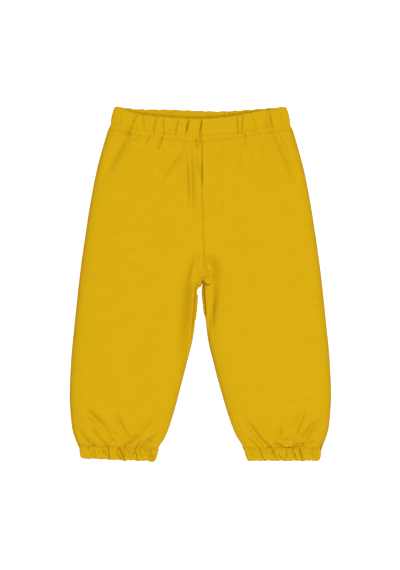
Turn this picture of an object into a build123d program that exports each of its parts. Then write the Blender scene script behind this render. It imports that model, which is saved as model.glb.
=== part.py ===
"""Pull-on pants for a small child, lying on their back with the front up.

Frame, in millimetres: +Y runs to the waist, +X to the wearer's left, +Z up out of the table.
The origin is on the table, under the middle of the garment.

Every piece of cloth is a loft of cross-sections taken across the garment. One section formula gives
the front's dome and the back's flatter underside, and the same sections, moved inwards or outwards,
give the casings, the elastics inside them, the seam allowances and the topstitching.
"""

import os

from build123d import *

# Cloth, elastic and thread.
CLOTH = 1.5
BAND_CLOTH = 1.3
CUFF_CLOTH = 1.2
WAIST_ELASTIC = 1.6
CUFF_ELASTIC = 1.2
FIT_GAP = 0.15
THREAD = 0.3
THREAD_WIDTH = 0.7
TOUCH = 0.05

# The section's shape: the height of the side seams, and how square the front and the back are.
SEAM_Z = 9.0
FRONT_POWER = 2.6
BACK_POWER = 4.0
UNDERCUT = 0.6
SHARES = (0.0, 0.02, 0.08, 0.2, 0.35, 0.5, 0.65, 0.8, 0.92, 0.98, 1.0)

# The knee, where each leg folds, and the gap between the pieces on its two sides.
KNEE_Y = -90.0
KNEE_GAP = 0.3

# One half of the garment: y, distance from the centre plane to the inner edge, to the outer edge,
# height of the front, and the share of that height which the front keeps at its inner edge.
SEAT = [
    (180.0, 0.0, 104.5, 21.0, 1.0),
    (160.0, 0.0, 110.0, 23.0, 1.0),
    (120.0, 0.0, 119.5, 26.0, 1.0),
    (62.0, 0.0, 130.0, 26.0, 1.0),
    (30.0, 0.0, 134.0, 26.0, 0.8),
    (14.0, 0.0, 136.0, 26.0, 0.4),
    (2.0, 0.0, 137.5, 26.0, 0.0),
]
THIGH = [
    (-16.0, 3.0, 139.5, 26.0, 0.0),
    (-40.0, 6.0, 142.3, 26.0, 0.0),
    (KNEE_Y + KNEE_GAP, 15.6, 147.2, 26.0, 0.0),
]
SHIN = [
    (KNEE_Y - KNEE_GAP, 15.6, 147.2, 26.0, 0.0),
    (-127.0, 25.5, 148.9, 25.0, 0.0),
    (-160.0, 35.3, 147.0, 22.0, 0.0),
    (-175.0, 41.6, 143.2, 19.0, 0.0),
    (-187.0, 48.6, 138.6, 16.0, 0.0),
]
CUFF = [
    (-187.0, 48.6, 138.6, 16.0, 0.0),
    (-204.0, 54.0, 136.0, 15.0, 0.0),
]
WAIST = [
    (208.0, -97.5, 97.5, 19.5, 0.0),
    (180.0, -104.5, 104.5, 21.0, 0.0),
    (160.0, -110.0, 110.0, 23.0, 0.0),
]

# The waistband's edges sag towards the centre: y at x = REACH, and y at the centre.
REACH = 112.0
FRONT_TOP = (207.1, 189.5)
FRONT_LOW = (175.7, 162.8)
BACK_TOP = (205.1, 199.0)
BACK_LOW = (174.7, 172.0)
FOLD = 1.4
ELASTIC_WIDTH = 18.0
LOWER_ROW = 0.8
ROW_GAUGE = 5.6

# The cuffs.
CUFF_TOP = -187.0
CUFF_HEM = -203.7
CUFF_ELASTIC_WIDTH = 12.0
CUFF_ROW = 1.2

# The sewn mock fly on the wearer's left front.
FLY_WIDTH = 25.0
FLY_TOP = 161.0
FLY_STRAIGHT_END = 98.0
FLY_CORNER = (19.5, 83.0)
FLY_END = (3.0, 76.0)

# Seam allowances, overlocked on the inside, and the care label in the left side seam.
ALLOWANCE = 5.0
ALLOWANCE_THICKNESS = 1.2
ALLOWANCE_GAP = 0.3
LABEL_SIZE = (34.0, 22.0)
LABEL_THICKNESS = 0.4
LABEL_Y = 110.0

FAR = 400.0


def across(y):
    """The plane of the cross-section at y, drawn with X across and Z up."""
    return Plane(origin=(0, y, 0), x_dir=(1, 0, 0), z_dir=(0, -1, 0))


def dome(share, power, kept):
    """Height of a layer, 0 to 1, at a share of the way from its inner to its outer edge."""
    closed = (1 - abs(2 * share - 1) ** power) ** (1 / power)
    spanning = (1 - share**power) ** (1 / power)
    return kept * spanning + (1 - kept) * closed


def layer(station, inset, front):
    """Points of one layer of the section at a station, moved inwards by inset."""
    y, inner, outer, crown, kept = station
    inner = inner + inset * (1 - kept)
    outer = outer - inset
    if front:
        rise, power = crown - inset - SEAM_Z, FRONT_POWER
    else:
        rise, power = inset - SEAM_Z, BACK_POWER
        if inset <= 0:
            rise -= UNDERCUT
    return [(inner + s * (outer - inner), SEAM_Z + rise * dome(s, power, kept)) for s in SHARES]


def cloth(stations, outside, inside, front):
    """A curved sheet between two insets, lofted through the stations, flat where it meets the table."""
    with BuildPart() as sheet:
        for station in stations:
            with BuildSketch(across(station[0])):
                with BuildLine():
                    top = Spline(*layer(station, outside, front))
                    low = Spline(*layer(station, inside, front))
                    Line(top @ 0, low @ 0)
                    Line(top @ 1, low @ 1)
                make_face()
        loft(ruled=True)
        above_table()
    return sheet.part


def tube(stations, inset):
    """The whole inside of the garment at the stations, as a solid, moved inwards by inset."""
    with BuildPart() as core:
        for station in stations:
            with BuildSketch(across(station[0])):
                with BuildLine():
                    Spline(*layer(station, inset, True))
                    Spline(*layer(station, inset, False))
                make_face()
        loft(ruled=True)
    return core.part


def above_table():
    """Cuts the part being built off at the table."""
    with Locations((0, 0, 0)):
        Box(2 * FAR, 2 * FAR, FAR, align=(Align.CENTER, Align.CENTER, Align.MIN), mode=Mode.INTERSECT)


def ring(stations, outside, inside, region):
    """A hoop of cloth, elastic or thread round the garment, inside a region of the plan."""
    with BuildPart() as hoop:
        add(tube(stations, outside))
        add(tube(stations, inside), mode=Mode.SUBTRACT)
        add(region, mode=Mode.INTERSECT)
        above_table()
    return hoop.part


def shifted(edge, drop):
    """A sagging edge moved down by drop."""
    return (edge[0] - drop, edge[1] - drop)


def between(top, low):
    """The sketch between two sagging edges."""
    with BuildSketch() as band:
        with BuildLine():
            upper_edge = ThreePointArc((-REACH, top[0]), (0, top[1]), (REACH, top[0]))
            lower_edge = ThreePointArc((REACH, low[0]), (0, low[1]), (-REACH, low[0]))
            Line(upper_edge @ 1, lower_edge @ 0)
            Line(lower_edge @ 1, upper_edge @ 0)
        make_face()
    return band.sketch


def waist_region(front_top, front_low, back_top, back_low):
    """The part of the waistband between two sagging edges on the front and two on the back."""
    with BuildPart() as region:
        with BuildSketch(Plane.XY.offset(SEAM_Z)):
            add(between(front_top, front_low))
        extrude(amount=FAR)
        with BuildSketch(Plane.XY.offset(SEAM_Z)):
            add(between(back_top, back_low))
        extrude(amount=-FAR)
    return region.part


def hung_region(drop, width):
    """A strip of the waistband that follows its top edge, from drop below it over a width."""
    front, back = shifted(FRONT_TOP, drop), shifted(BACK_TOP, drop)
    return waist_region(front, shifted(front, width), back, shifted(back, width))


def row_region(rise):
    """A row of topstitching that follows the waistband's lower edge, rise above it."""
    front, back = shifted(FRONT_LOW, -rise), shifted(BACK_LOW, -rise)
    return waist_region(shifted(front, -THREAD_WIDTH), front, shifted(back, -THREAD_WIDTH), back)


def slab(y_high, y_low):
    """Everything between two heights up the garment."""
    with BuildPart() as region:
        with Locations((0, y_low, 0)):
            Box(FAR, y_high - y_low, FAR, align=(Align.CENTER, Align.MIN, Align.CENTER))
    return region.part


def waistband_side(front):
    """Everything above the waistband's lower edge, for the front or for the back."""
    side, centre = FRONT_LOW if front else BACK_LOW
    with BuildPart() as region:
        with BuildSketch(Plane.XY.offset(-FAR / 2)):
            with BuildLine():
                edge = ThreePointArc((-REACH, side), (0, centre), (REACH, side))
                Polyline(edge @ 1, (REACH, FAR), (-REACH, FAR), edge @ 0)
            make_face()
        extrude(amount=FAR)
    return region.part


def cut_to(shape, region):
    """The part of a shape that lies in a region."""
    with BuildPart() as kept:
        add(shape)
        add(region, mode=Mode.INTERSECT)
    return kept.part


def cut_from(shape, region):
    """The part of a shape that lies outside a region."""
    with BuildPart() as kept:
        add(shape)
        add(region, mode=Mode.SUBTRACT)
    return kept.part


def mirrored(shape):
    """The same piece for the wearer's other side."""
    with BuildPart() as other:
        add(shape)
        mirror(about=Plane.YZ, mode=Mode.REPLACE)
    return other.part


def window(low, high):
    """A straight-sided region of the plan."""
    with BuildPart() as region:
        with Locations(((low[0] + high[0]) / 2, (low[1] + high[1]) / 2, 0)):
            Box(high[0] - low[0], high[1] - low[1], FAR)
    return region.part


def allowance(stations, outer):
    """A seam allowance standing inwards from the outer or the inner edge of a leg."""
    with BuildPart() as fin:
        for station in stations:
            y, inner_edge, outer_edge = station[0], station[1], station[2]
            root = outer_edge - CLOTH - ALLOWANCE_GAP if outer else inner_edge + CLOTH + ALLOWANCE_GAP
            middle = root - ALLOWANCE / 2 if outer else root + ALLOWANCE / 2
            with BuildSketch(across(y)):
                with Locations((middle, SEAM_Z)):
                    Rectangle(ALLOWANCE, ALLOWANCE_THICKNESS)
        loft(ruled=True)
    return fin.part


def fly_outline():
    """The J of the mock fly, from the waistband down and round to the centre seam."""
    down = Line((FLY_WIDTH, FLY_TOP), (FLY_WIDTH, FLY_STRAIGHT_END))
    turn = ThreePointArc(down @ 1, FLY_CORNER, FLY_END)
    return down, turn


def fly_region():
    """The plan of the fly's facing."""
    with BuildPart() as region:
        with BuildSketch(Plane.XY):
            with BuildLine():
                down, turn = fly_outline()
                Line(turn @ 1, (TOUCH, FLY_END[1]))
                Line((TOUCH, FLY_END[1]), (TOUCH, FLY_TOP))
                Line((TOUCH, FLY_TOP), down @ 0)
            make_face()
        extrude(amount=FAR)
    return region.part


def fly_stitch_region():
    """The plan of the fly's topstitching."""
    with BuildPart() as region:
        with BuildSketch(Plane.XY):
            with BuildLine():
                fly_outline()
            trace(line_width=THREAD_WIDTH)
        extrude(amount=FAR)
    return region.part


pieces = {}

# Waistband: a folded casing, the elastic inside it and two rows of topstitching through both.
band_depth = 2 * BAND_CLOTH + WAIST_ELASTIC + 2 * FIT_GAP
elastic_slot = ring(
    WAIST, BAND_CLOTH, band_depth - BAND_CLOTH, hung_region(FOLD, ELASTIC_WIDTH + 2 * FIT_GAP)
)
whole_band = waist_region(FRONT_TOP, FRONT_LOW, BACK_TOP, BACK_LOW)
pieces["waistband_casing"] = cut_from(ring(WAIST, 0, band_depth, whole_band), elastic_slot)
pieces["waist_elastic"] = ring(
    WAIST,
    BAND_CLOTH + FIT_GAP,
    band_depth - BAND_CLOTH - FIT_GAP,
    hung_region(FOLD + FIT_GAP, ELASTIC_WIDTH),
)
with BuildPart() as waistband_topstitch:
    for rise in (LOWER_ROW, LOWER_ROW + ROW_GAUGE):
        add(ring(WAIST, -THREAD - TOUCH, -TOUCH, row_region(rise)))
pieces["waistband_topstitch"] = waistband_topstitch.part

# The four leg panels, each in two nodes that meet at the knee.
upper = SEAT + THIGH
for name, front in (("front", True), ("back", False)):
    panel = cut_from(cloth(upper, 0, CLOTH, front), waistband_side(front))
    pieces[f"left_{name}_panel_upper"] = panel
    pieces[f"right_{name}_panel_upper"] = mirrored(panel)
    panel = cloth(SHIN, 0, CLOTH, front)
    pieces[f"left_{name}_panel_lower"] = panel
    pieces[f"right_{name}_panel_lower"] = mirrored(panel)

# The mock fly: a facing inside the left front, and its topstitching on the outside.
pieces["fly_facing"] = cut_to(cloth(SEAT, CLOTH + TOUCH, CLOTH + TOUCH + 1.0, True), fly_region())
pieces["fly_topstitch"] = cut_to(cloth(SEAT, -THREAD - TOUCH, -TOUCH, True), fly_stitch_region())

# Seam allowances inside: down the sides, down the inner legs, and along the centre front and back.
side_upper = allowance(SEAT[1:] + THIGH, True)
inner_upper = allowance(THIGH, False)
side_lower = allowance(SHIN, True)
inner_lower = allowance(SHIN, False)
for name, fin in (
    ("side_seam_upper", side_upper),
    ("inseam_upper", inner_upper),
    ("side_seam_lower", side_lower),
    ("inseam_lower", inner_lower),
):
    pieces[f"left_{name}"] = fin
    pieces[f"right_{name}"] = mirrored(fin)
under_panel = (CLOTH + TOUCH, CLOTH + TOUCH + ALLOWANCE_THICKNESS)
seam_span = window((TOUCH, 34.0), (ALLOWANCE, FLY_TOP))
pieces["centre_front_seam"] = mirrored(cut_to(cloth(SEAT, *under_panel, True), seam_span))
pieces["centre_back_seam"] = cut_to(cloth(SEAT, *under_panel, False), seam_span)

# Cuffs: the same build as the waistband, with one row of topstitching.
cuff_depth = 2 * CUFF_CLOTH + CUFF_ELASTIC + 2 * FIT_GAP
hem_inside = CUFF_HEM + FOLD
cuff_slot = ring(
    CUFF,
    CUFF_CLOTH,
    cuff_depth - CUFF_CLOTH,
    slab(hem_inside + CUFF_ELASTIC_WIDTH + 2 * FIT_GAP, hem_inside),
)
cuff_casing = cut_from(ring(CUFF, 0, cuff_depth, slab(CUFF_TOP, CUFF_HEM)), cuff_slot)
cuff_elastic = ring(
    CUFF,
    CUFF_CLOTH + FIT_GAP,
    cuff_depth - CUFF_CLOTH - FIT_GAP,
    slab(hem_inside + FIT_GAP + CUFF_ELASTIC_WIDTH, hem_inside + FIT_GAP),
)
row_y = CUFF_TOP - CUFF_ROW
cuff_topstitch = ring(CUFF, -THREAD - TOUCH, -TOUCH, slab(row_y, row_y - THREAD_WIDTH))
for name, shape in (
    ("cuff_casing", cuff_casing),
    ("cuff_elastic", cuff_elastic),
    ("cuff_topstitch", cuff_topstitch),
):
    pieces[f"left_{name}"] = shape
    pieces[f"right_{name}"] = mirrored(shape)

# The blank care label, caught in the left side seam and lying on the inside of the back.
label_reach = SEAT[2][2]
pieces["care_label"] = cut_to(
    cloth(SEAT, CLOTH + TOUCH, CLOTH + TOUCH + LABEL_THICKNESS, False),
    window((label_reach - LABEL_SIZE[0], LABEL_Y - LABEL_SIZE[1]), (label_reach - 8.0, LABEL_Y)),
)

os.makedirs("parts", exist_ok=True)
for name, shape in pieces.items():
    shape.label = name
    export_step(shape, f"parts/{name}.step")
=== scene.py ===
"""Looks of a small child's pull-on pants, which lie on their back with the front up.

The shapes are worked out in millimetres, in the frame's own axes: +Y to the waist, +X to the wearer's
left and +Z up. make_mesh() turns them into metres. Every cloth surface is a grid of points: a smooth
base shape from the garment's outline, moved along its normals by folds whose routes are listed,
and by small gathers from a seeded generator.
"""

import math

import bpy
import numpy as np
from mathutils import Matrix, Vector
from mathutils.bvhtree import BVHTree


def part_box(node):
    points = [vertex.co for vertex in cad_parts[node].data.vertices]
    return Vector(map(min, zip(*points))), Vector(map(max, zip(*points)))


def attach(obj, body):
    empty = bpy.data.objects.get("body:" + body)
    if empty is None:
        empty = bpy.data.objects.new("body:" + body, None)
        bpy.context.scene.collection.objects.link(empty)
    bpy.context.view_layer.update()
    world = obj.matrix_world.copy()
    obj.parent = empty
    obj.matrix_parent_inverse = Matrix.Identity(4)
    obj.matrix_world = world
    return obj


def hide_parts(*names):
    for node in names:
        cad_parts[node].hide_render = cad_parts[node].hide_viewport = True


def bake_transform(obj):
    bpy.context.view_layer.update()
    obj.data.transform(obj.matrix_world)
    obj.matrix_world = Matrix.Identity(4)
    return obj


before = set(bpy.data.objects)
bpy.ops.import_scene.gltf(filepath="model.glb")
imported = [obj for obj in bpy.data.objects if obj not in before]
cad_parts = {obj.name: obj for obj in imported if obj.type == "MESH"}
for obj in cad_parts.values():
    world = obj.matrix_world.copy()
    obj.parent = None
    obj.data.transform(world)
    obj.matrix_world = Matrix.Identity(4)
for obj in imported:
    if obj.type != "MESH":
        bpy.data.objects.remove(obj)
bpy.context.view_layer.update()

MM = 0.001
rng = np.random.default_rng(7)


def cad(node, corner, axis):
    """One coordinate of a CAD node's box in millimetres: corner 0 is the lowest, 1 the highest."""
    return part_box(node)[corner][axis] / MM


# Measures from the frame.
CUFF_TOP = cad("left_cuff_casing", 1, 1)
HEM = cad("left_cuff_casing", 0, 1)
SEAM_Z = (cad("left_side_seam_upper", 0, 2) + cad("left_side_seam_upper", 1, 2)) / 2

# Thicknesses of the cloth of a panel, a casing, an allowance, the fly's facing, an elastic and the label.
JERSEY = 1.1
CASING = 1.0
EDGING = 1.0
FACING = 0.8
ELASTIC = 0.9
LABEL = 0.35
# Depths of the folded casings, from their outer ply to their inner one.
BAND_DEPTH = 4.2
CUFF_DEPTH = 3.6
# Topstitching: the distance between two rows, a stitch, the gap before the next one and the thread.
ROW_GAUGE = 5.7
STITCH = 2.1
STITCH_GAP = 0.8
THREAD = 0.42
# Between two plies that lie on each other, and the width of the seams' allowances.
GAP = 0.25
ALLOWANCE = 5.0
# How square the garment's puffed edges are, 2 being round, and the height that nothing lies below.
FRONT_POWER = 4.0
BACK_POWER = 4.0
LOWEST = 0.02


# ---- curves ----


def curve(*points):
    """A smooth function through points, which doesn't overshoot them."""
    xs, ys = np.array(sorted(points), float).T
    step = np.diff(xs)
    slope = np.diff(ys) / step
    tangent = np.concatenate([slope[:1], np.zeros(len(xs) - 2), slope[-1:]])
    same = slope[:-1] * slope[1:] > 0
    before, after = slope[:-1][same], slope[1:][same]
    tangent[1:-1][same] = 2 * before * after / (before + after)

    def value(x):
        x = np.clip(x, xs[0], xs[-1])
        i = np.clip(np.searchsorted(xs, x) - 1, 0, len(step) - 1)
        h = step[i]
        t = (x - xs[i]) / h
        rise = ys[i + 1] * t * t * (3 - 2 * t) + ys[i] * (1 - t) ** 2 * (1 + 2 * t)
        return rise + h * (tangent[i] * t * (1 - t) ** 2 - tangent[i + 1] * t * t * (1 - t))

    return value


def totals(steps):
    """Running totals of steps, from 0."""
    return np.concatenate([[0], np.cumsum(steps)])


def smooth(t):
    """0 to 1 with level ends."""
    t = np.clip(t, 0, 1)
    return t * t * (3 - 2 * t)


def bump(distance, width):
    """A rounded bump, 1 at no distance."""
    return np.exp(-((distance / width) ** 2))


def roll(distance, reach, power):
    """Height of a puffed edge, 0 at the edge and 1 a reach inside it."""
    inside = 1 - np.clip(distance / reach, 0, 1)
    return np.clip(1 - inside**power, 0, 1) ** (1 / power)


def across_shares(count, wide, tall, power):
    """Shares from 0 to 1 whose points are evenly spaced over a puffed leg of that width and height."""
    share = (1 - np.cos(np.linspace(0, math.pi, 2001))) / 2
    height = tall * roll(np.minimum(share, 1 - share), 0.5, power)
    place = totals(np.hypot(np.diff(share * wide), np.diff(height)))
    return np.interp(np.linspace(0, place[-1], count), place, share)


def spaced(*stretches):
    """Places from high to low, each stretch (high, low, step) with its own step."""
    runs = [np.arange(high, low, -step) for high, low, step in stretches]
    return np.concatenate([*runs, [stretches[-1][1]]])


# ---- the garment's outline ----

# The outlines of the legs, as places across the garment for places along it.
OUTER = curve(
    (210, 96.4), (196, 100.2), (180, 103.8), (168, 107.3), (150, 112.4), (131, 117.5), (95, 124.6),
    (58, 130.5), (21, 135.7), (-16, 140.0), (-53, 143.8), (-90, 147.2), (-127, 148.7), (-148, 147.6),
    (-164, 146.0), (-176, 142.6), (-187, 138.6), (-198, 137.2), (-206, 135.4),
)  # fmt: skip
INNER = {
    "left": curve(
        (3.4, 2.4), (0.3, 3.5), (-4, 2.7), (-9, 2.4), (-24, 3.8), (-41, 6.0), (-64, 8.8), (-90, 15.0),
        (-117, 22.0), (-154, 33.2), (-172, 40.2), (-187, 49.0), (-198, 52.9), (-206, 55.0),
    ),
    "right": curve(
        (3.4, -2.6), (0.3, -1.0), (-2, 0.4), (-4.3, 2.4), (-8, 3.7), (-14, 3.9), (-41, 5.9), (-64, 8.9),
        (-90, 15.4), (-117, 22.4), (-142, 29.0), (-156, 33.2), (-170, 38.0), (-179, 42.4), (-187, 47.6),
        (-191, 48.6), (-198, 50.8), (-206, 52.6),
    ),
}  # fmt: skip
CROTCH_Y = 3.4
# How high the garment stands over the table, from the waist to the hems.
CROWN = curve(
    (208, 19.5), (180, 21.0), (160, 23.0), (120, 26.0), (-90, 26.0), (-127, 25.0), (-160, 22.5),
    (-175, 19.8), (-187, 16.8), (-204, 13.6),
)  # fmt: skip
# How far the front is puffed in from the outer edge above the crotch.
SPREAD = curve((170, 106.0), (120, 82.0), (60, 67.0), (-20, 68.0))
# The centre seam's place across, and the waistband's upper and lower edges in front and behind.
SEAM_X = curve((170, 1.8), (110, 1.9), (62, 3.1), (34, 3.9), (22, 4.4), (14, 5.4), (10, 6.1), (3.4, 2.6))
FRONT_TOP = curve((-96, 203.4), (-72, 195.4), (-45, 191.9), (0, 189.5), (40, 193.0), (66, 198.0), (96, 203.0))
BACK_TOP = curve(
    (-96, 203.6), (-67, 200.8), (-38, 200.6), (-10, 199.5), (22, 198.5), (44, 199.6), (96, 203.4)
)  # fmt: skip
FRONT_LOW = curve(
    (-106, 178.0), (-90, 174.0), (-59, 167.6), (-30, 164.4), (0, 163.2), (30, 165.4), (60, 170.0),
    (106, 177.0),
)  # fmt: skip
BACK_LOW = curve((-106, 177.5), (-50, 173.0), (0, 171.8), (50, 173.0), (106, 177.0))
SIDES = {"left": 1, "right": -1}
LEG_MIDDLE = 94.0


def cuff_rise(side, x):
    """How much higher the cuff sits than level. The right one is tilted, with its outer end up."""
    return 0.6 + 1.7 * (x - LEG_MIDDLE) / 45 if side == "right" else 0.0 * x - 0.5


def leg_reach(side, y):
    """How far in from its edges the front is puffed."""
    leg = (OUTER(y) - INNER[side](y)) / 2
    return np.where(y > 165, OUTER(y), leg + smooth((y + 20) / 20) * (SPREAD(y) - leg))


def edge_distances(side, x, y):
    """Distances in the plan to the outer edge, and to the inner edge or the crotch above it."""
    edge_y = np.concatenate([np.linspace(CROTCH_Y, -12, 12), np.linspace(-16, -100, 15)])
    edge = np.stack([INNER[side](edge_y), edge_y], 1)
    shortest = np.abs(near(edge, x.ravel(), y.ravel())[0]).reshape(x.shape)
    level = x - INNER[side](y)
    return OUTER(y) - x, level + smooth((y + 60) / 40) * (shortest - level)


def base_height(side, x, y, front):
    """Height of the smooth garment over the table. x is counted outwards from the centre plane."""
    outer, inner = edge_distances(side, x, y)
    reach = leg_reach(side, y)
    power = FRONT_POWER if front else BACK_POWER
    puff = roll(outer, reach, power) * roll(inner, reach, power)
    return SEAM_Z + (CROWN(y) - SEAM_Z) * puff if front else SEAM_Z * (1 - puff)


# ---- folds ----

# The share of a fold's route over which its strength grows from what it is at an end.
FADE = 0.45


def fold(route, width, depth, start=1.0, end=0.0, lip=0.15, lean=0.0, over=0.0):
    """A valley along a route of points. Its strength is start and end at its two ends and 1 between them.

    lip is the height of the ridges beside it, as a share of depth. lean makes one side steeper: above 0
    it is the side to the left of the way the route runs. over pushes the valley's bottom under that side,
    by so many times its depth.
    """
    return {"route": np.array(route, float), "width": width, "depth": depth, "start": start, "end": end,
            "lip": lip, "lean": lean, "over": over}  # fmt: skip


def crease(route, width, depth, over=0.35, **more):
    """A narrow pinched fold, whose one side overhangs it."""
    return fold(route, width, depth, over=over, **more)


def ridge(route, width, height, **more):
    """A narrow raised fold."""
    return fold(route, width, -height, **more)


def dense(route, parts=6):
    """Points along a smooth line through a route's points."""
    if len(route) < 3:
        return np.linspace(route[0], route[-1], parts + 1)
    padded = np.vstack([2 * route[0] - route[1], route, 2 * route[-1] - route[-2]])
    t = np.arange(parts)[:, None] / parts
    runs = []
    for a, b, c, d in zip(padded, padded[1:], padded[2:], padded[3:]):
        square = a - 2.5 * b + 2 * c - d / 2
        cube = 1.5 * (b - c) + (d - a) / 2
        runs.append(b + t * ((c - a) / 2 + t * (square + t * cube)))
    return np.vstack([*runs, route[-1:]])


def near(line, x, y):
    """Where points are beside a line: their distance, above 0 to the left of the way it runs, the share
    along it, and the way to the left there."""
    a, b = line[:-1], line[1:]
    way = b - a
    length = np.hypot(*way.T)
    dx, dy = x[:, None] - a[:, 0], y[:, None] - a[:, 1]
    t = np.clip((dx * way[:, 0] + dy * way[:, 1]) / length**2, 0, 1)
    away = np.hypot(dx - t * way[:, 0], dy - t * way[:, 1])
    k = away.argmin(1)
    i = np.arange(len(x))
    side = np.sign(way[k, 0] * dy[i, k] - way[k, 1] * dx[i, k])
    start = totals(length)
    left = np.stack([-way[k, 1], way[k, 0]], 1) / length[k, None]
    return away[i, k] * side, (start[k] + t[i, k] * length[k]) / start[-1], left


def relief(folds, x, y):
    """What the folds do at points of the plan: how much they lift the cloth, and how they shift it."""
    shape = x.shape
    x, y = x.ravel(), y.ravel()
    lift, shift = np.zeros(len(x)), np.zeros((len(x), 2))
    for f in folds:
        line = dense(f["route"])
        far = 6 * f["width"]
        low, high = line.min(0) - far, line.max(0) + far
        hit = np.flatnonzero((x > low[0]) & (x < high[0]) & (y > low[1]) & (y < high[1]))
        if not len(hit):
            continue
        away, share, left = near(line, x[hit], y[hit])
        width = f["width"] * 2.0 ** (-f["lean"] * np.sign(away))
        away = np.abs(away)
        strength = f["start"] + (1 - f["start"]) * smooth(share / FADE)
        strength = strength * (f["end"] + (1 - f["end"]) * smooth((1 - share) / FADE))
        valley = strength * f["depth"] * bump(away, width)
        ridge = strength * f["depth"] * bump(away - 2.2 * width, 1.2 * width)
        lift[hit] += f["lip"] * ridge - valley
        shift[hit] += left * (f["over"] * valley)[:, None]
    return lift.reshape(shape), shift.reshape(*shape, 2)


def seam(route, depth=0.7, width=0.6):
    """A sewn line: a thin valley of even strength."""
    return fold(route, width, depth, start=1.0, end=1.0, lip=0.25)


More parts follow.
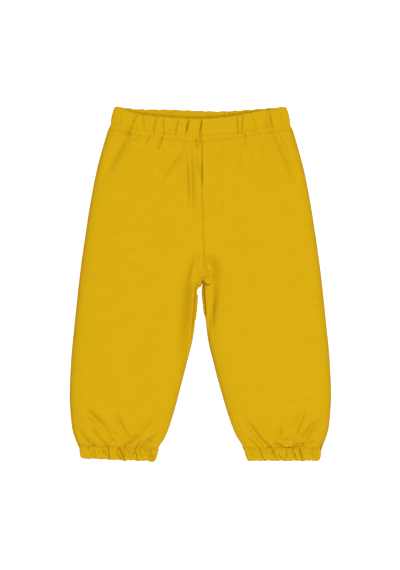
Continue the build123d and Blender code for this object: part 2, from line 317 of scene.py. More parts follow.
FRONT_FOLDS = [
    # Under the waistband, from the wearer's right to the left.
    fold([(-84, 174), (-94, 168), (-103, 160)], 2.2, 1.3),
    fold([(-84, 172), (-91, 160), (-99.5, 143), (-107, 127), (-112, 112)], 5.6, 3.2),
    fold([(-72, 170), (-80, 163)], 2.2, 1.0),
    crease([(-58.5, 168.5), (-64, 161)], 0.9, 1.6),
    crease([(-44, 168), (-46.5, 161), (-50.6, 152)], 1.0, 2.6),
    fold([(-62, 160), (-75, 146)], 3.0, 0.9, start=0.2),
    fold([(-30, 162), (-26, 151)], 1.8, 1.0),
    fold([(-20, 166), (-24, 152), (-33, 140), (-44, 122), (-51, 102)], 5.0, 2.6, start=0.4),
    fold([(-12, 166), (-13.2, 148), (-12, 130), (-11.2, 108), (-10.5, 70)], 2.9, 3.8, start=0.1, lean=-0.4),
    crease([(-5.5, 165), (-3.7, 152)], 0.9, 2.4),
    crease([(0.2, 175), (-0.4, 167), (-1.8, 159), (-2.6, 150)], 0.8, 1.7),
    crease([(-5.6, 152), (-4.6, 140), (-1.6, 128), (0.6, 118)], 1.2, 2.0, start=0.3, end=0.3, over=0.2),
    crease([(1.7, 160), (1.7, 140)], 0.5, 0.6, over=0.0, start=0.3, end=0.6),
    crease([(1.7, 140), (1.7, 126), (1.8, 112)], 0.5, 2.6, over=0.0, start=0.3, end=0.2),
    crease([(50.5, 172), (51.4, 153)], 1.0, 1.8),
    fold([(47, 160), (43.5, 144), (41.5, 124)], 2.6, 1.3, start=0.2),
    fold([(55, 160), (58.5, 140)], 2.4, 1.0, start=0.2),
    fold([(67, 170), (71, 154), (77, 138)], 2.6, 1.3, start=0.3),
    fold([(75, 171), (81, 158)], 2.2, 1.1, start=0.3),
    fold([(84, 174), (92, 163), (97.5, 149), (102.5, 137), (109, 118), (114, 104)], 4.4, 3.2, lean=0.3),
    # Round the crotch and down the inner legs.
    fold([(1.6, 50), (0.6, 40), (-1.4, 28), (-3.2, 16), (-5.4, 2), (-7.2, -9), (-8.6, -30), (-11.4, -52),
          (-15, -76), (-19, -100)], 8.2, 10.0, start=0.0, lip=0.0, lean=0.3),
    fold([(8.4, 38), (8.8, 29), (10.2, 19), (13.0, 9), (15.2, -2)], 7.0, 8.6, start=0.0, end=0.1, lip=0.0,
         lean=-0.4),
    fold([(9.5, 16), (12.4, 4), (13.8, -6), (13.6, -14), (11.8, -28), (10.6, -46), (10.2, -62)], 6.2, 6.4,
         start=0.0, lip=0.0, lean=0.25),
    fold([(-1.2, 46), (-4.8, 31), (-7.8, 19), (-10.6, 7), (-12.6, -6)], 2.8, 2.6, start=0.1, end=0.1,
         lip=0.0),
    crease([(10, 16.5), (12.4, 10), (14.6, 2)], 0.8, 1.2, start=0.2),
    crease([(4.2, -0.3), (7.4, -0.5), (11.6, -0.2)], 0.62, 5.0, over=0.0, end=0.1),
    crease([(-4.6, -3), (-5.4, -14), (-6.8, -32), (-9.5, -52)], 0.8, 0.9, over=0.3),
    seam([(13.7, 1.6), (14, -10), (13.4, -30), (14.2, -52), (22, -92), (34, -135), (44.4, -165),
          (52.6, -188)]),
    # Above the right cuff.
    fold([(-122, -185.5), (-129, -181), (-135.5, -173), (-144, -160)], 3.0, 2.0),
    fold([(-107.5, -187), (-115, -178.5), (-120.6, -171), (-129, -155)], 2.7, 1.8),
    fold([(-105, -173), (-112.6, -161.5), (-122, -152.5), (-137, -137)], 3.6, 3.2, start=0.4, lip=0.3),
    fold([(-80, -178.5), (-88.5, -166), (-93.6, -155), (-99, -136)], 2.4, 2.3, start=0.5),
    crease([(-103, -177), (-98.5, -181)], 1.8, 1.6, start=0.4, end=0.4),
    fold([(-76.5, -168), (-65.5, -165), (-55, -154), (-50, -148)], 2.2, 1.9, start=0.3, lean=-0.8),
    crease([(-87, -187), (-84.6, -182.2), (-79.5, -180.2), (-75.2, -182.6)], 0.85, 2.8, over=0.0, lip=0.3),
    fold([(-79, -180.5), (-74, -175.6), (-68, -174.4)], 1.6, 2.8, start=0.4, end=0.3, lean=-0.3),
    crease([(-73, -188), (-69, -181), (-64, -177)], 1.2, 2.2),
    fold([(-67, -187.5), (-60.5, -181), (-54, -175.6), (-48, -173)], 1.7, 3.2, start=0.5, end=0.2, lean=-0.4),
    crease([(-105.6, -187), (-106.4, -178)], 0.9, 1.2),
    crease([(-101.6, -187), (-104, -177)], 0.9, 1.2),
    fold([(-98, -166), (-98, -176)], 1.8, 1.2, start=0.2),
    # Above the left cuff.
    fold([(78, -187), (72.5, -182), (65.5, -174.5), (58.5, -164.5), (50, -155.5), (42, -152)], 2.7, 3.0),
    fold([(64, -186), (56, -178), (50, -172)], 1.4, 1.2),
    crease([(95.5, -187), (91.5, -184), (85, -181.5), (80, -182.5)], 1.0, 2.8, lip=0.4),
    crease([(97, -188.6), (106.5, -187), (110, -184), (117, -182.8)], 1.2, 4.6, over=0.0, end=0.4),
    fold([(115.5, -184), (119.6, -175), (126.6, -165.6), (134, -159), (142, -158.6)], 2.2, 3.4, start=0.3,
         end=0.2, lean=-0.7),
    crease([(117, -185), (123, -176), (129, -169), (135.5, -166.5)], 1.1, 2.6, end=0.2),
    fold([(104, -182), (108.6, -172), (111.6, -162), (116.6, -150), (122, -136)], 3.4, 2.6, start=0.4,
         lean=-0.8),
    fold([(85, -178), (89, -173), (93, -160)], 2.8, 2.2, start=0.5, lean=-0.7),
    fold([(94, -178), (104.5, -179)], 1.8, 1.5, start=0.3, end=0.3),
    fold([(124, -184.5), (131.5, -179)], 1.8, 1.8, start=0.4, end=0.3),
]  # fmt: skip

# Valleys straight down close to the edges: a deep slot beside the left leg's inner edge, and the seam
# over the crotch.
EDGE_FOLDS = [
    fold([(2.6, 1.5), (2.5, -6), (2.8, -12), (4.3, -30), (6.1, -45)], 1.3, 12.0, lip=0.0),
    seam([(-4.0, -3.4), (-2.2, 1.2), (0.6, 4.9), (5.6, 8.2), (10.8, 6.0), (13.6, 1.2)], 1.4),
]

# Pinches across the waistband's front, and across each cuff's.
WAIST_FOLDS = [
    crease([(-92.5, 183), (-91, 190), (-89.4, 199)], 0.68, 1.0, end=0.5),
    crease([(-79.5, 178), (-76, 186), (-72, 195)], 0.63, 2.2, end=0.6, lean=0.3),
    crease([(-63.5, 176), (-65.8, 193)], 0.54, 1.5, end=0.6),
    crease([(-53.4, 174), (-52.2, 182), (-49.6, 192)], 0.59, 2.0, end=0.6, lean=0.3),
    crease([(-41.5, 172), (-42.2, 191)], 0.54, 1.6, end=0.5),
    crease([(-28.6, 172), (-27, 180), (-24.2, 190)], 0.59, 2.0, end=0.6, lean=0.3),
    crease([(-35.5, 172), (-34, 180)], 0.59, 0.9),
    crease([(-16.6, 171), (-15.6, 176), (-14.4, 182), (-13.0, 190)], 0.5, 5.0, over=0.1, start=0.2, end=0.2),
    crease([(-1.2, 171), (-0.3, 176), (0.8, 182), (2.0, 190)], 0.5, 4.6, over=0.1, start=0.3, end=0.2),
    crease([(42.9, 172), (42, 193)], 0.63, 2.0, end=0.6),
    crease([(47.4, 172), (48, 182), (49, 195)], 0.63, 2.4, start=0.8, end=0.6, lean=-0.3),
    crease([(65.3, 178), (61, 188), (57.2, 197)], 0.63, 1.0, end=0.5),
    crease([(75.7, 177), (75.4, 199)], 0.54, 1.5, end=0.6),
    crease([(82.8, 179), (80.2, 188), (78.8, 199)], 0.55, 4.2, over=0.1, start=0.4, end=0.5),
    crease([(78.6, 178), (79.6, 187)], 0.49, 1.4),
    crease([(58.5, 173), (54, 180)], 0.68, 0.7),
    crease([(63.8, 175), (59.6, 187)], 0.79, 0.8),
    crease([(93, 184), (91.5, 200)], 0.79, 0.9, end=0.4),
]  # fmt: skip

# Ridges across the inner face of the waistband's back, which shows over the front's top edge.
BACK_FOLDS = [
    ridge([(8.6, 190), (9.4, 196)], 0.8, 2.4, end=0.4),
    ridge([(27.5, 191), (28.3, 198)], 0.8, 2.4, end=0.4),
    ridge([(33.4, 191), (34.2, 198)], 0.7, 2.4, end=0.4),
    ridge([(37.6, 191), (38.2, 198)], 0.7, 2.4, end=0.4),
    ridge([(50.5, 193), (52, 201)], 0.8, 1.6, end=0.6),
    ridge([(57.5, 194), (59, 201)], 0.7, 1.6, end=0.6),
    ridge([(-64, 195), (-60, 200)], 1.2, 1.6, end=0.6),
    ridge([(-34, 193), (-31, 199)], 1.2, 1.6, end=0.6),
]

CUFF_FOLDS = {
    "right": [
        crease([(-128.4, -186), (-124.2, -198)], 0.55, 1.6, end=0.5),
        crease([(-124.2, -186), (-120.2, -199)], 0.55, 1.6, end=0.5),
        crease([(-113.4, -187), (-107, -197)], 0.6, 1.6, end=0.5),
        crease([(-106, -186), (-104.8, -194), (-103.6, -202)], 0.5, 2.5, end=0.7),
        crease([(-93.6, -187), (-89.4, -195), (-87, -202)], 0.62, 3.0, end=0.8),
        crease([(-93.4, -195), (-90.4, -202)], 0.6, 1.8, end=0.6),
        crease([(-88, -188), (-86, -199)], 0.5, 1.2),
        crease([(-84.4, -188), (-80.2, -200)], 0.5, 1.4, end=0.5),
        crease([(-75.4, -188), (-73.4, -195), (-72.4, -202)], 0.5, 2.2, end=0.6),
        crease([(-71, -188), (-67, -199)], 0.5, 1.4, end=0.5),
        crease([(-60.6, -189), (-56.8, -203)], 0.45, 2.0, end=0.7),
        crease([(-57.4, -189), (-54, -203)], 0.45, 2.0, end=0.7),
        crease([(-134, -187), (-132, -200)], 0.6, 1.2, end=0.4),
    ],
    "left": [
        crease([(58, -188), (62, -202)], 0.6, 1.2, end=0.4),
        crease([(66.2, -187), (69.4, -194), (72.8, -201)], 0.5, 2.3, end=0.6),
        crease([(70.4, -189), (75.4, -195)], 0.5, 1.2),
        crease([(80, -187), (87.4, -200)], 0.6, 2.2, end=0.4),
        crease([(89.6, -195), (95.2, -202)], 0.5, 1.8, end=0.6),
        crease([(98.4, -187), (97.4, -202)], 0.5, 1.6, end=0.5),
        crease([(104.6, -188), (107, -194), (110, -201)], 0.5, 2.4, end=0.5),
        crease([(112.6, -187), (114.6, -194), (117.4, -202)], 0.6, 3.0, end=0.6),
        crease([(124, -188), (132.6, -200)], 0.5, 1.2, end=0.4),
        crease([(129, -188), (136, -197)], 0.5, 1.0, end=0.4),
    ],
}


def gathers(places, low, high, width, depth, lean=3.0):
    """Small random folds across a stretch, one near each place, from low to high."""
    made = []
    for place in places:
        shift, slant = rng.uniform(-2, 2), rng.uniform(-lean, lean)
        reach = rng.uniform(0.55, 1.0)
        route = [(place + shift, low), (place + shift + slant, low + (high - low) * reach)]
        made.append(fold(route, width * rng.uniform(0.8, 1.3), depth * rng.uniform(0.5, 1.2), end=0.3))
    return made


# ---- meshes ----


def normals(grid, sign, closed=False):
    """Unit normals of a grid of points, rows by columns. closed joins the last column to the first.

    With sign 1 they face as the cross product of the ways along a row and down a column does.
    """
    if closed:
        wide = np.concatenate([grid[:, -1:], grid, grid[:, :1]], 1)
        across = (wide[:, 2:] - wide[:, :-2]) / 2
    else:
        across = np.gradient(grid, axis=1)
    n = sign * np.cross(across, np.gradient(grid, axis=0))
    return n / np.maximum(np.linalg.norm(n, axis=2, keepdims=True), 1e-9)


def lengths(grid, closed=False):
    """Distance along the rows of a grid, averaged over the rows, for a texture that follows the cloth."""
    steps = np.linalg.norm(np.diff(grid, axis=1), axis=2).mean(0)
    across = totals(steps)
    if closed:
        across = np.append(across, across[-1] + np.linalg.norm(grid[:, 0] - grid[:, -1], axis=1).mean())
    steps = np.linalg.norm(np.diff(grid, axis=0), axis=2).mean(1)
    return across, totals(steps)


# Ends the name of each mesh that is made here.
SHOWN = "_shown"


def make_mesh(name, points, faces, uvs=None):
    """An object from points in millimetres. uvs hold one pair in millimetres for each face corner.

    SHOWN in its name keeps it apart from the CAD node that it stands for.
    """
    mesh = bpy.data.meshes.new(name)
    mesh.from_pydata((points * MM).tolist(), [], faces)
    if uvs is not None:
        layer = mesh.uv_layers.new(name="cloth")
        layer.data.foreach_set("uv", (np.asarray(uvs) * MM).astype(np.float32).ravel())
    mesh.validate()
    mesh.shade_smooth()
    piece = bpy.data.objects.new(name + SHOWN, mesh)
    bpy.context.scene.collection.objects.link(piece)
    return piece


def make_sheet(name, grid, sign, closed=False, thickness=JERSEY):
    """A sheet of cloth from a grid of points. Its right side faces along normals() with the same sign."""
    rows, cols = grid.shape[:2]
    across, down = lengths(grid, closed)
    last = cols if closed else cols - 1
    r, c = np.meshgrid(np.arange(rows - 1), np.arange(last), indexing="ij")
    r, c = r.ravel(), c.ravel()
    corners = [(r, c), (r + 1, c), (r + 1, c + 1), (r, c + 1)]
    if sign > 0:
        corners.reverse()
    faces = np.stack([a * cols + b % cols for a, b in corners], 1)
    uvs = np.stack([np.stack([across[b], down[a]], 1) for a, b in corners], 1)
    piece = make_mesh(name, grid.reshape(-1, 3), faces.tolist(), uvs)
    plies = piece.modifiers.new("thickness", "SOLIDIFY")
    plies.thickness = thickness * MM
    plies.offset = -1
    return piece


def make_tubes(name, runs, radius):
    """Round threads. Each run is a list of points with the radius shrinking at its ends."""
    sides = 6
    points, faces = [], []
    turn = np.arange(sides) * 2 * math.pi / sides
    for run, up in runs:
        way = np.gradient(run, axis=0)
        way /= np.linalg.norm(way, axis=1, keepdims=True)
        side = np.cross(way, up)
        side /= np.linalg.norm(side, axis=1, keepdims=True)
        top = np.cross(side, way)
        t = np.linspace(-1, 1, len(run))
        girth = radius * np.sqrt(np.clip(1 - 0.75 * t**6, 0.1, 1))
        ring = side[:, None] * np.cos(turn)[:, None] + top[:, None] * np.sin(turn)[:, None]
        first = len(points)
        points.extend((run[:, None] + ring * girth[:, None, None]).reshape(-1, 3))
        for i in range(len(run) - 1):
            for j in range(sides):
                a, b = first + i * sides + j, first + i * sides + (j + 1) % sides
                faces.append((a, b, b + sides, a + sides))
        faces.append(tuple(range(first + sides - 1, first - 1, -1)))
        faces.append(tuple(range(first + (len(run) - 1) * sides, first + len(run) * sides)))
    return make_mesh(name, np.array(points), faces)


def stitch_runs(path, up):
    """Straight stitches along a path of points with their normals: each dives into the cloth at its ends."""
    sunk, lift = 0.35, 0.1
    steps = np.linalg.norm(np.diff(path, axis=0), axis=1)
    place = totals(steps)
    runs = []
    pitch = STITCH + STITCH_GAP
    for k in range(int(place[-1] / pitch)):
        t = np.linspace(0, 1, 6)
        at = k * pitch + STITCH_GAP / 2 + t * STITCH
        run = np.stack([np.interp(at, place, path[:, i]) for i in range(3)], 1)
        normal = np.stack([np.interp(at, place, up[:, i]) for i in range(3)], 1)
        height = lift - (lift + sunk) * np.abs(2 * t - 1) ** 4
        runs.append((run + normal * height[:, None], normal))
    return runs


# ---- materials ----


class Nodes:
    """A short way to write a material's nodes."""

    def __init__(self, name):
        self.material = bpy.data.materials.new(name)
        self.material.use_nodes = True
        self.tree = self.material.node_tree
        self.shader = self.tree.nodes["Principled BSDF"]

    def add(self, kind, _inputs=(), **values):
        node = self.tree.nodes.new(kind)
        for key, value in values.items():
            setattr(node, key, value)
        for socket, value in dict(_inputs).items():
            self.set(node.inputs[socket], value)
        return node

    def set(self, socket, value):
        if isinstance(value, bpy.types.NodeSocket):
            self.tree.links.new(value, socket)
        else:
            socket.default_value = value

    def math(self, operation, *values):
        return self.add("ShaderNodeMath", dict(enumerate(values)), operation=operation).outputs[0]

    def mapped(self, vector, scale):
        return self.add("ShaderNodeMapping", {"Vector": vector, "Scale": scale}).outputs[0]

    def noise(self, vector, scale, detail=3.0):
        inputs = {"Vector": vector, "Scale": scale, "Detail": detail}
        return self.add("ShaderNodeTexNoise", inputs).outputs[0]

    def range(self, value, low, high):
        inputs = {"Value": value, "From Min": 0.3, "From Max": 0.7, "To Min": low, "To Max": high}
        return self.add("ShaderNodeMapRange", inputs).outputs[0]

    def finish(self, colour, bright, rough, specular, height, strength, depth):
        """Wires the shader: a colour with its brightness near 1, a roughness, and a bump of that depth."""
        tint = self.add("ShaderNodeHueSaturation", {"Color": (*colour, 1), "Value": bright})
        lumps = self.add("ShaderNodeBump", {"Strength": strength, "Distance": depth, "Height": height})
        self.set(self.shader.inputs["Base Color"], tint.outputs[0])
        self.set(self.shader.inputs["Normal"], lumps.outputs[0])
        self.set(self.shader.inputs["Roughness"], rough)
        self.shader.inputs["Specular IOR Level"].default_value = specular
        return self.material


MUSTARD = (0.560, 0.333, 0.0036)
THREAD_COLOUR = (0.50, 0.27, 0.005)
# Width of a column of knit loops, and height of a row of them.
WALE = 1.05
COURSE = 0.8


def jersey(name, colour, depth=0.00012, slub=0.035):
    """Cotton jersey: knit loops in columns, thick and thin yarn across them, and a faint mottle."""
    n = Nodes(name)
    uv = n.add("ShaderNodeUVMap", uv_map="cloth").outputs[0]
    flat = n.add("ShaderNodeSeparateXYZ", {0: uv})
    across = n.math("MULTIPLY", flat.outputs[0], 1 / (WALE * MM))
    along = n.math("MULTIPLY", flat.outputs[1], 1 / (COURSE * MM))
    middle = n.math("ABSOLUTE", n.math("SUBTRACT", n.math("FRACT", across), 0.5))
    slanted = n.math("ADD", along, n.math("MULTIPLY", middle, 1.1))
    courses = n.math("SINE", n.math("MULTIPLY", slanted, 2 * math.pi))
    wales = n.math("SUBTRACT", 1.0, n.math("POWER", n.math("MULTIPLY", middle, 2.0), 2.0))
    loops = n.math("ADD", n.math("MULTIPLY", courses, 0.3), wales)
    yarn = n.noise(n.mapped(uv, (55, 900, 1)), 1.0, 4.0)
    mottle = n.noise(n.mapped(uv, (30, 60, 1)), 1.0, 2.0)
    fuzz = n.noise(n.mapped(uv, (2600, 2600, 1)), 1.0, 2.0)
    bright = n.math("ADD", n.range(yarn, 1 - slub, 1 + slub), n.range(mottle, -0.012, 0.012))
    bright = n.math("ADD", bright, n.range(fuzz, -0.02, 0.02))
    height = n.math("ADD", loops, n.math("MULTIPLY", yarn, 2.2))
    height = n.math("ADD", height, n.math("MULTIPLY", fuzz, 0.8))
    return n.finish(colour, bright, n.range(mottle, 0.86, 0.96), 0.04, height, 0.5, depth)


def twisted(name, colour, pitch, roughness):
    """Thread or yarn with a visible twist, of that pitch in millimetres."""
    n = Nodes(name)
    place = n.add("ShaderNodeTexCoord").outputs["Object"]
    wave = n.add("ShaderNodeTexWave", {"Vector": place, "Scale": 1 / (pitch * MM) / 6, "Distortion": 1.0})
    grain = n.noise(place, 900.0)
    rough = n.range(grain, roughness - 0.1, roughness + 0.1)
    return n.finish(colour, n.range(grain, 0.9, 1.1), rough, 0.15, wave.outputs["Fac"], 0.5, 0.0001)


def woven(name, colour, rib, pick, roughness=0.6):
    """A woven tape or elastic: ribs along it and picks across it, in millimetres."""
    n = Nodes(name)
    uv = n.add("ShaderNodeUVMap", uv_map="cloth").outputs[0]
    flat = n.add("ShaderNodeSeparateXYZ", {0: uv})
    ribs = n.math("SINE", n.math("MULTIPLY", flat.outputs[1], 2 * math.pi / (rib * MM)))
    picks = n.math("SINE", n.math("MULTIPLY", flat.outputs[0], 2 * math.pi / (pick * MM)))
    grain = n.noise(uv, 700.0)
    height = n.math("ADD", ribs, n.math("MULTIPLY", picks, 0.5))
    rough = n.range(grain, roughness - 0.08, roughness + 0.08)
    return n.finish(colour, n.range(grain, 0.94, 1.04), rough, 0.25, height, 0.6, 0.0001)


MATERIALS = {
    "jersey": jersey("mustard_jersey", MUSTARD),
    "thread": twisted("mustard_thread", THREAD_COLOUR, 0.5, 0.7),
    "overlock": jersey("overlocked_edge", (0.62, 0.36, 0.006), depth=0.0003, slub=0.12),
    "elastic": woven("white_elastic", (0.82, 0.81, 0.77), 1.6, 0.9),
    "label": woven("white_satin", (0.88, 0.88, 0.85), 0.3, 0.3, roughness=0.35),
}


def finish_piece(piece, slot, replaced, body="seat"):
    """Gives a piece its material by its slot, the CAD nodes it stands for and its body."""
    piece.data.materials.append(MATERIALS[slot])
    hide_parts(*replaced)
    if body is not None:
        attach(piece, body)
    return piece


def bend_at_knee(piece):
    """Bakes a leg piece's placement into its mesh."""
    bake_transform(piece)


# ---- leg panels ----

# How far a panel's cloth runs on under the casing it is sewn to, and how far down it lies there.
TUCK = 3.0
UNDER = 1.4
# How far in from a leg's inner edge the folds have their full depth.
EDGE_CALM = 2.5
# How far the cloth sinks at the seams of the waistband, the cuffs and the centre.
SEAM_SINK = 0.25
CUFF_SINK = 0.8
CENTRE_SINK = 0.9
# How far above the back panel the deepest folds of the front stay.
ABOVE_BACK = 3.4
# How much more a fold moves the cloth up or down than along its normal, in front and behind.
UPRIGHT = {True: 3.0, False: -1.0}
# A leg's usual width and the puff's height, which space the columns of a panel.
LEG_WIDE = 130.0
LEG_TALL = 17.0
# The shares of a panel's rows that bend to follow the waistband's seam and the cuff's.
WAIST_SHARE = 0.38
CUFF_SHARE = 0.3


def panel_grid(side, front, cols, rows):
    """The cloth of one panel before its folds: its points, and the plan's x and y of each."""
    s = SIDES[side]
    power = FRONT_POWER if front else BACK_POWER
    share = across_shares(cols, LEG_WIDE, LEG_TALL, power)[None, :]
    nominal = rows[:, None] + 0 * share
    t = (nominal - rows[-1]) / (rows[0] - rows[-1])
    y = nominal
    low = FRONT_LOW if front else BACK_LOW
    # The seams' places depend on x, and x on y, so both are worked out a few times over.
    for _ in range(4):
        inner = np.where(y > CROTCH_Y, SEAM_X(y) * s, INNER[side](y))
        x = inner + share * (OUTER(y) - inner)
        top = low(x * s) + TUCK
        bottom = CUFF_TOP + cuff_rise(side, x) - TUCK
        up = smooth((t - 1 + WAIST_SHARE) / WAIST_SHARE)
        down = smooth((CUFF_SHARE - t) / CUFF_SHARE)
        y = nominal + up * (top - rows[0]) + down * (bottom - rows[-1])
    z = base_height(side, x, y, front)
    return np.stack([x * s, y, z], 2), x, y


def sewn_edges(side, front, x, y):
    """How far a panel sinks at its seams and under the casings."""
    s = SIDES[side]
    low = FRONT_LOW if front else BACK_LOW
    past_waist = y - low(x * s)
    past_cuff = CUFF_TOP + cuff_rise(side, x) - y
    sunk = SEAM_SINK * bump(past_waist, 1.2) + CUFF_SINK * bump(past_cuff, 0.9)
    sunk += np.where(y > CROTCH_Y, CENTRE_SINK * bump(x - SEAM_X(y) * s, 0.7), 0)
    return sunk + UNDER * np.clip(np.maximum(past_waist, past_cuff) / 0.8, 0, 1)


def wavy(x, y, seed, size, height):
    """A soft random unevenness of the cloth."""
    waves = np.random.default_rng(seed)
    total = np.zeros_like(x)
    for _ in range(7):
        angle, phase = waves.uniform(0, math.pi), waves.uniform(0, 2 * math.pi)
        long = size * waves.uniform(0.6, 1.6)
        total += np.sin((x * math.cos(angle) + y * math.sin(angle)) * 2 * math.pi / long + phase)
    return height * total / 4


# Heights of the panels' rows, closest where the folds are smallest.
FRONT_ROWS = spaced(
    (168, 146, 0.7), (146, 26, 1.9), (26, 10, 0.8), (10, -5, 0.4), (-5, -60, 1.3), (-60, -145, 1.9),
    (-145, CUFF_TOP, 0.75),
)  # fmt: skip
BACK_ROWS = spaced((172, 150, 1.2), (150, -150, 2.6), (-150, CUFF_TOP, 1.2))


def leg_panel(side, front):
    """One panel, from the waistband to the cuff, in one piece."""
    s = SIDES[side]
    sign = -s if front else s
    grid, x, y = panel_grid(side, front, 150 if front else 76, FRONT_ROWS if front else BACK_ROWS)
    at_cuff = LEG_MIDDLE * s + np.arange(-42, 43, 6.5)

    # Small gathers below the waistband and above the cuff, with the front's own folds.
    if front:
        small = gathers(np.arange(-100, 101, 9.0), 168, 152, 2.0, 0.35)
        small += gathers(at_cuff, CUFF_TOP, -171, 1.5, 0.5)
        lift, shift = relief(FRONT_FOLDS + WAIST_FOLDS + CUFF_FOLDS[side] + small, x * s, y)
        inside = smooth(edge_distances(side, x, y)[1] / EDGE_CALM)
        lift *= inside
        shift *= inside[..., None]
        lift += wavy(x * s, y, 3, 55, 0.28)
        down = relief(EDGE_FOLDS, x * s, y)[0]
    else:
        small = gathers(np.arange(-100, 101, 8.0), 176, 150, 2.2, 0.7)
        small += gathers(at_cuff, CUFF_TOP, -165, 1.8, 0.7)
        lift, shift = relief(small, x * s, y)
        lift = np.minimum(lift - np.abs(wavy(x * s, y, 5, 45, 0.8)), 0)
    lift -= sewn_edges(side, front, x, y)

    way = normals(grid, sign) + np.array([0, 0, UPRIGHT[front]])
    way /= np.linalg.norm(way, axis=2, keepdims=True)
    grid += way * lift[..., None]
    grid[..., :2] += shift
    lowest = LOWEST
    if front:
        grid[..., 2] += down
        lowest = base_height(side, x, y, False) + ABOVE_BACK * inside
    grid[..., 2] = np.maximum(grid[..., 2], lowest)
    name = f"{side}_{'front' if front else 'back'}_panel"
    piece = make_sheet(name, grid, sign)
    finish_piece(piece, "jersey", [name + "_upper", name + "_lower"], body=None)
    return piece, grid


panels = {(side, front): leg_panel(side, front) for side in SIDES for front in (True, False)}


# ---- waistband and cuffs ----


# How much closer a casing's columns are at the front's middle than evenly spaced ones.
FRONT_DENSER = 0.45


def superellipse(count, wide, tall_front, tall_back):
    """Shares across and up of points round a closed section from the front's middle, and their places."""
    angle = np.linspace(0, 2 * math.pi, 4001)
    across, up = np.sin(angle), np.cos(angle)
    power = np.where(up > 0, FRONT_POWER, BACK_POWER)
    far = (np.abs(across) ** power + np.abs(up) ** power) ** (-1 / power)
    across, up = across * far, up * far
    height = up * np.where(up > 0, tall_front, tall_back)
    place = totals(np.hypot(np.diff(across * wide), np.diff(height)))
    turn = np.arange(count) / count
    at = place[-1] * (turn - FRONT_DENSER * np.sin(2 * math.pi * turn) / (2 * math.pi))
    return np.interp(at, place, across), np.interp(at, place, up), at


def casing_profile(depth, rows):
    """Rows of a folded casing from its seam, up its outer face, round the fold and down its inner face.

    Each has its share of the height, how far it is past the fold's centre in millimetres, and its share
    of the depth inwards.
    """
    turn = np.linspace(0, math.pi, 9)[1:-1]
    outer = [(h, 0.0, 0.0) for h in np.linspace(0, 1, rows)]
    round_it = [(1.0, depth / 2 * math.sin(a), (1 - math.cos(a)) / 2) for a in turn]
    inner = [(h, 0.0, 1.0) for h in np.linspace(1, 0.04, rows // 2)]
    return np.array(outer + round_it + inner)


# How many columns of a casing's cloth to each side of a crease the elastic under it stays clear of.
CREASE_REACH = 5
# How deep a row of stitches pulls a casing in, and how far it puffs out between the rows and its fold.
ROW_SINK = 0.45
PUFF = 0.7


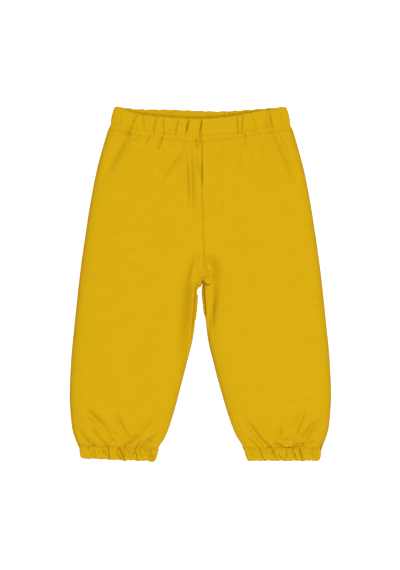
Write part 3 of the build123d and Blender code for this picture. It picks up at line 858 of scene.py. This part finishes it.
class Casing:
    """A gathered casing round the waist or an ankle.

    section(y) gives the middle, the half width and the crown of the garment there, and edges(x, up) the
    places along the leg of the casing's seam and of its fold, which lies further from the knee. folds are
    the front's own folds and back_folds those of the back's inner face. The back has random gathers, pitch
    apart, and so has the front, crumple times as deep. Each row of stitches is a rise away from the seam.
    sink is how deep the cloth lies at the seam.
    """

    def __init__(self, section, edges, middle, depth, rows, cols, folds, stitch_rises, crumple, sink, pitch,
                 back_folds=()):  # fmt: skip
        self.rows = rows
        seam_y, fold_y = edges(middle, 1.0)
        way = np.sign(fold_y - seam_y)
        _, wide, tall = section(seam_y)
        across, up, place = superellipse(cols, wide, tall - SEAM_Z, SEAM_Z)
        h, beyond, inward = (v[:, None] for v in casing_profile(depth, rows).T)
        y = seam_y + 0 * h * across
        for _ in range(4):
            mid, half, crown = section(y)
            x = mid + half * across
            seam_y, fold_y = edges(x, up)
            y = seam_y + h * (fold_y - way * depth / 2 - seam_y) + way * beyond
        z = SEAM_Z + up * np.where(up > 0, crown - SEAM_Z, SEAM_Z)
        self.rise = np.abs(y - seam_y)
        dx, dz = (np.roll(v, -1, 1) - np.roll(v, 1, 1) for v in (x, z))
        out = np.stack([-dz, 0 * dx, dx], 2) / np.hypot(dx, dz)[..., None]
        grid = np.stack([x, y, z], 2) - out * (inward * depth)[..., None]
        self.sign = way

        # The front's own folds and random gathers, which the inner face doesn't follow.
        back = smooth((0.25 - up) / 0.5)
        spread = gathers(np.arange(4, place[-1], pitch), 0.0, 24.0, 0.16 * pitch, 1.1)
        lift, shift = relief(folds, x, y)
        lift *= 1 - back
        shift *= ((1 - back) * (1 - inward))[..., None]
        lift += relief(spread, place + 0 * y, 24.0 * h + 0 * y)[0] * np.maximum(back, crumple)
        lift -= smooth(inward) * (self.deepest(lift) + lift)
        lift += relief(back_folds, x, y)[0] * back * inward

        # The rows of stitches and the seam pull the outer face in, and it puffs out beyond them.
        face = 1 - smooth((inward - 0.6) / 0.4)
        for row in stitch_rises:
            lift -= ROW_SINK * bump(self.rise - row, 0.8) * face
        lift -= sink * bump(self.rise, 0.9) * face
        beyond_rows = smooth((self.rise - max(stitch_rises)) / 5) * (1 - smooth(inward / 0.3))
        lift += PUFF * beyond_rows * bump(h - 0.62, 0.42)
        faces = normals(grid, way, closed=True)
        self.core = grid + faces * (self.deepest(lift) - CASING - GAP)[..., None]
        grid += faces * lift[..., None]
        grid[..., :2] += shift
        grid[..., 2] = np.maximum(grid[..., 2], LOWEST)
        self.grid = grid
        self.normals = normals(grid, way, closed=True)

    @staticmethod
    def deepest(lift):
        """The lowest lift near each column, so that what lies under a crease stays clear of it."""
        return np.min([np.roll(lift, shift, 1) for shift in range(-CREASE_REACH, CREASE_REACH + 1)], 0)

    def cloth(self, name):
        """The casing's own mesh."""
        return make_sheet(name, self.grid, self.sign, closed=True, thickness=CASING)

    def round_at(self, values, rise):
        """What the values are round the outer face at a rise from the seam, back to where they start."""
        rises, values = self.rise[: self.rows], values[: self.rows]
        columns = [*range(rises.shape[1]), 0]
        return np.array([[np.interp(rise, rises[:, c], values[:, c, i]) for i in range(3)] for c in columns])

    def stitches(self, name, rises):
        """Rows of topstitching round the outer face, at those rises from the seam."""
        runs = []
        for rise in rises:
            runs += stitch_runs(self.round_at(self.grid, rise), self.round_at(self.normals, rise))
        return make_tubes(name, runs, THREAD / 2)

    def elastic(self, name, low, high):
        """The elastic inside the casing, between two shares of its height."""
        rows = slice(round(low * self.rows), round(high * self.rows))
        return make_sheet(name, self.core[rows], self.sign, closed=True, thickness=ELASTIC)


def waist_section(y):
    """The garment's middle, half width and crown at the waist."""
    return 0 * y, OUTER(y), CROWN(y)


def waist_edges(x, up):
    """The waistband's lower edge and its top, which differ between the front and the back."""
    front = smooth((up + 0.35) / 0.7)
    scallop = 0.15 * np.sin(x * 0.83) + 0.3 * np.sin(x * 0.47 + 2)
    top = BACK_TOP(x) + (1 - front) * scallop + front * (FRONT_TOP(x) - BACK_TOP(x))
    return BACK_LOW(x) + front * (FRONT_LOW(x) - BACK_LOW(x)), top


def finish_casing(casing, name, prefix, row_rises, elastic_span, body):
    """Makes the casing, its topstitching and its elastic."""
    finish_piece(casing.cloth(name), "jersey", [name], body)
    row = f"{prefix}_topstitch"
    finish_piece(casing.stitches(row, row_rises), "thread", [row], body)
    band = f"{prefix.replace('waistband', 'waist')}_elastic"
    finish_piece(casing.elastic(band, *elastic_span), "elastic", [band], body)


WAIST_ROWS = (1.1, 1.1 + ROW_GAUGE)
CUFF_ROWS = (1.3,)


def make_waistband():
    """The waistband with its topstitching and elastic."""
    casing = Casing(
        waist_section, waist_edges, middle=0.0, depth=BAND_DEPTH, rows=34, cols=780,
        folds=FRONT_FOLDS + WAIST_FOLDS, stitch_rises=WAIST_ROWS, crumple=0.15, sink=SEAM_SINK, pitch=7.5,
        back_folds=BACK_FOLDS,
    )  # fmt: skip
    finish_casing(casing, "waistband_casing", "waistband", WAIST_ROWS, (0.34, 0.94), "seat")


def make_cuff(side):
    """One cuff with its topstitching and elastic."""
    s = SIDES[side]

    def section(y):
        inner = INNER[side](y)
        return s * (OUTER(y) + inner) / 2, (OUTER(y) - inner) / 2, CROWN(y)

    def edges(x, _):
        rise = cuff_rise(side, x * s)
        scallop = 0.25 * np.sin(x * 0.9) + 0.25 * np.sin(x * 0.41 + 1)
        return CUFF_TOP + rise, HEM + 2.0 + rise + scallop

    casing = Casing(
        section, edges, middle=LEG_MIDDLE * s, depth=CUFF_DEPTH, rows=26, cols=420,
        folds=CUFF_FOLDS[side], stitch_rises=CUFF_ROWS, crumple=0.9, sink=CUFF_SINK, pitch=3.4,
    )  # fmt: skip
    prefix = f"{side}_cuff"
    finish_casing(casing, f"{prefix}_casing", prefix, CUFF_ROWS, (0.22, 0.92), f"{side}_lower_leg")


make_waistband()
for side in SIDES:
    make_cuff(side)


# ---- what lies on and inside the panels ----


def fabric_tree(front):
    """A search tree of the outer surfaces of both panels of the front or the back."""
    points, faces, first = [], [], 0
    for side in SIDES:
        grid = panels[side, front][1]
        rows, cols = grid.shape[:2]
        r, c = (v.ravel() for v in np.meshgrid(np.arange(rows - 1), np.arange(cols - 1), indexing="ij"))
        corner = first + r * cols + c
        faces += np.stack([corner, corner + 1, corner + cols + 1, corner + cols], 1).tolist()
        points += grid.reshape(-1, 3).tolist()
        first += rows * cols
    return BVHTree.FromPolygons(points, faces)


TREES = {front: fabric_tree(front) for front in (True, False)}


def on_cloth(plan, front, inside=0.0):
    """Points on the cloth over a grid or a line of plan points, moved inwards, and the way out at each."""
    up = 1.0 if front else -1.0
    flat = plan.reshape(-1, 2)
    points, ways = [], []
    for x, y in flat:
        hit, normal, _, _ = TREES[front].ray_cast(Vector((x, y, 100.0 * up)), Vector((0, 0, -up)))
        normal = np.array(normal) * math.copysign(1.0, normal.z * up)
        points.append(np.array(hit) - normal * inside)
        ways.append(normal)
    shape = (*plan.shape[:-1], 3)
    return np.array(points).reshape(shape), np.array(ways).reshape(shape)


def plan_grid(ys, left, right, cols):
    """Plan points between two edges, which are functions of y."""
    share = np.linspace(0, 1, cols)[None, :]
    y = np.asarray(ys)[:, None] + 0 * share
    return np.stack([left(y) + share * (right(y) - left(y)), y], 2)


# The J-shaped stitching of the mock fly, and the edge of its facing just beyond.
FLY = [
    (25.1, 161.5), (24.8, 120), (24.5, 92), (23.2, 86.5), (20.5, 82.5), (14.7, 78.5), (7.8, 76.2),
    (3.4, 75.6),
]  # fmt: skip
FLY_EDGE = curve((162, 25.6), (120, 25.4), (92, 25.0), (86, 23.4), (82, 20.3), (78.4, 14.7), (76, 6.0))
# The care label's ends and sides, inside the back near the wearer's left side.
LABEL_ENDS = (109, 89)
LABEL_SIDES = (96, 118)
# How far inside the panels' edges the allowances of the leg seams begin.
SEAM_INSIDE = JERSEY + 0.6


def make_fly():
    """The fly's stitching on the front and its facing inside."""
    path, up = on_cloth(dense(np.array(FLY), 24), True)
    stitches = make_tubes("fly_topstitch", stitch_runs(path, up), THREAD / 2)
    finish_piece(stitches, "thread", ["fly_topstitch"])
    plan = plan_grid(np.linspace(160, 76, 60), lambda y: SEAM_X(y) + 1, FLY_EDGE, 18)
    facing = on_cloth(plan, True, JERSEY + GAP)[0]
    piece = make_sheet("fly_facing", facing, -1, thickness=FACING)
    finish_piece(piece, "jersey", ["fly_facing"])


def make_centre_seam(front, way):
    """The overlocked allowance of the centre front or centre back seam, which lies to the way's side."""
    name = f"centre_{'front' if front else 'back'}_seam"
    left, right = sorted((0.6 * way, ALLOWANCE * way))
    plan = plan_grid(np.linspace(160, 34, 70), lambda y: SEAM_X(y) + left, lambda y: SEAM_X(y) + right, 6)
    strip = on_cloth(plan, front, JERSEY + GAP)[0]
    piece = make_sheet(name, strip, -1 if front else 1, thickness=EDGING)
    finish_piece(piece, "overlock", [name])


def make_label():
    """The blank care label."""
    inner, outer = LABEL_SIDES
    plan = plan_grid(np.linspace(*LABEL_ENDS, 20), lambda y: 0 * y + inner, lambda y: 0 * y + outer, 20)
    piece = make_sheet("care_label", on_cloth(plan, False, JERSEY + GAP)[0], 1, thickness=LABEL)
    finish_piece(piece, "label", ["care_label"])


def make_leg_seam(side, name, ys):
    """The overlocked allowance of a side seam or an inseam."""
    w = np.linspace(0, ALLOWANCE, 6)[None, :]
    y = ys[:, None] + 0 * w
    x = OUTER(y) - SEAM_INSIDE - w if name == "side_seam" else INNER[side](y) + SEAM_INSIDE + w
    strip = np.stack([x * SIDES[side], y, SEAM_Z + 0.3 * np.sin(y / 7) + 0 * x], 2)
    piece = make_sheet(f"{side}_{name}", strip, 1, thickness=EDGING)
    nodes = [f"{side}_{name}_{part}" for part in ("upper", "lower")]
    return finish_piece(piece, "overlock", nodes, body=None)


make_fly()
make_centre_seam(True, -1)
make_centre_seam(False, 1)
make_label()
leg_seams = [
    (make_leg_seam(side, name, ys), side)
    for side in SIDES
    for name, ys in (("side_seam", np.linspace(158, -184, 130)), ("inseam", np.linspace(-14, -184, 80)))
]

# ---- stage ----


def floor():
    """A plain white floor that glows a little, as a light table does, so that no shadow shows on it."""
    size = 6000.0
    corners = np.array([(-size, -size, 0), (size, -size, 0), (size, size, 0), (-size, size, 0)])
    plane = make_mesh("floor", corners, [(0, 1, 2, 3)])
    n = Nodes("pale_floor")
    n.shader.inputs["Base Color"].default_value = (0.5, 0.5, 0.5, 1)
    n.shader.inputs["Emission Color"].default_value = (1, 1, 1, 1)
    n.shader.inputs["Emission Strength"].default_value = 0.8
    n.shader.inputs["Roughness"].default_value = 0.9
    n.shader.inputs["Specular IOR Level"].default_value = 0.0
    plane.data.materials.append(n.material)


def softbox(name, place, size, power):
    """A square light that faces the garment."""
    lamp = bpy.data.lights.new(name, "AREA")
    lamp.size = size
    lamp.energy = power
    box = bpy.data.objects.new(name, lamp)
    box.location = place
    box.rotation_mode = "QUATERNION"
    box.rotation_quaternion = (-Vector(place)).to_track_quat("-Z", "Y")
    bpy.context.scene.collection.objects.link(box)


def camera():
    """Straight above the garment, with a long lens."""
    view = bpy.data.cameras.new("camera")
    view.lens = 150.0
    view.clip_end = 50.0
    picture_height = 0.6555
    eye = bpy.data.objects.new("camera", view)
    eye.location = (-0.0005, -0.0009, picture_height * view.lens / view.sensor_width)
    bpy.context.scene.collection.objects.link(eye)
    bpy.context.scene.camera = eye


def sky():
    """Even white light from all round."""
    world = bpy.data.worlds.new("soft_sky")
    world.use_nodes = True
    background = world.node_tree.nodes["Background"]
    background.inputs["Color"].default_value = (1, 1, 1, 1)
    background.inputs["Strength"].default_value = 0.30
    bpy.context.scene.world = world


floor()
softbox("top_light", (0.3, 0.0, 3.2), 1.5, 98.0)
softbox("fill_light", (-0.9, -0.9, 2.6), 1.6, 8.0)
sky()
bpy.context.scene.view_settings.view_transform = "Standard"
camera()

for (side, front), (piece, _) in panels.items():
    bend_at_knee(piece)
for piece, side in leg_seams:
    bend_at_knee(piece)
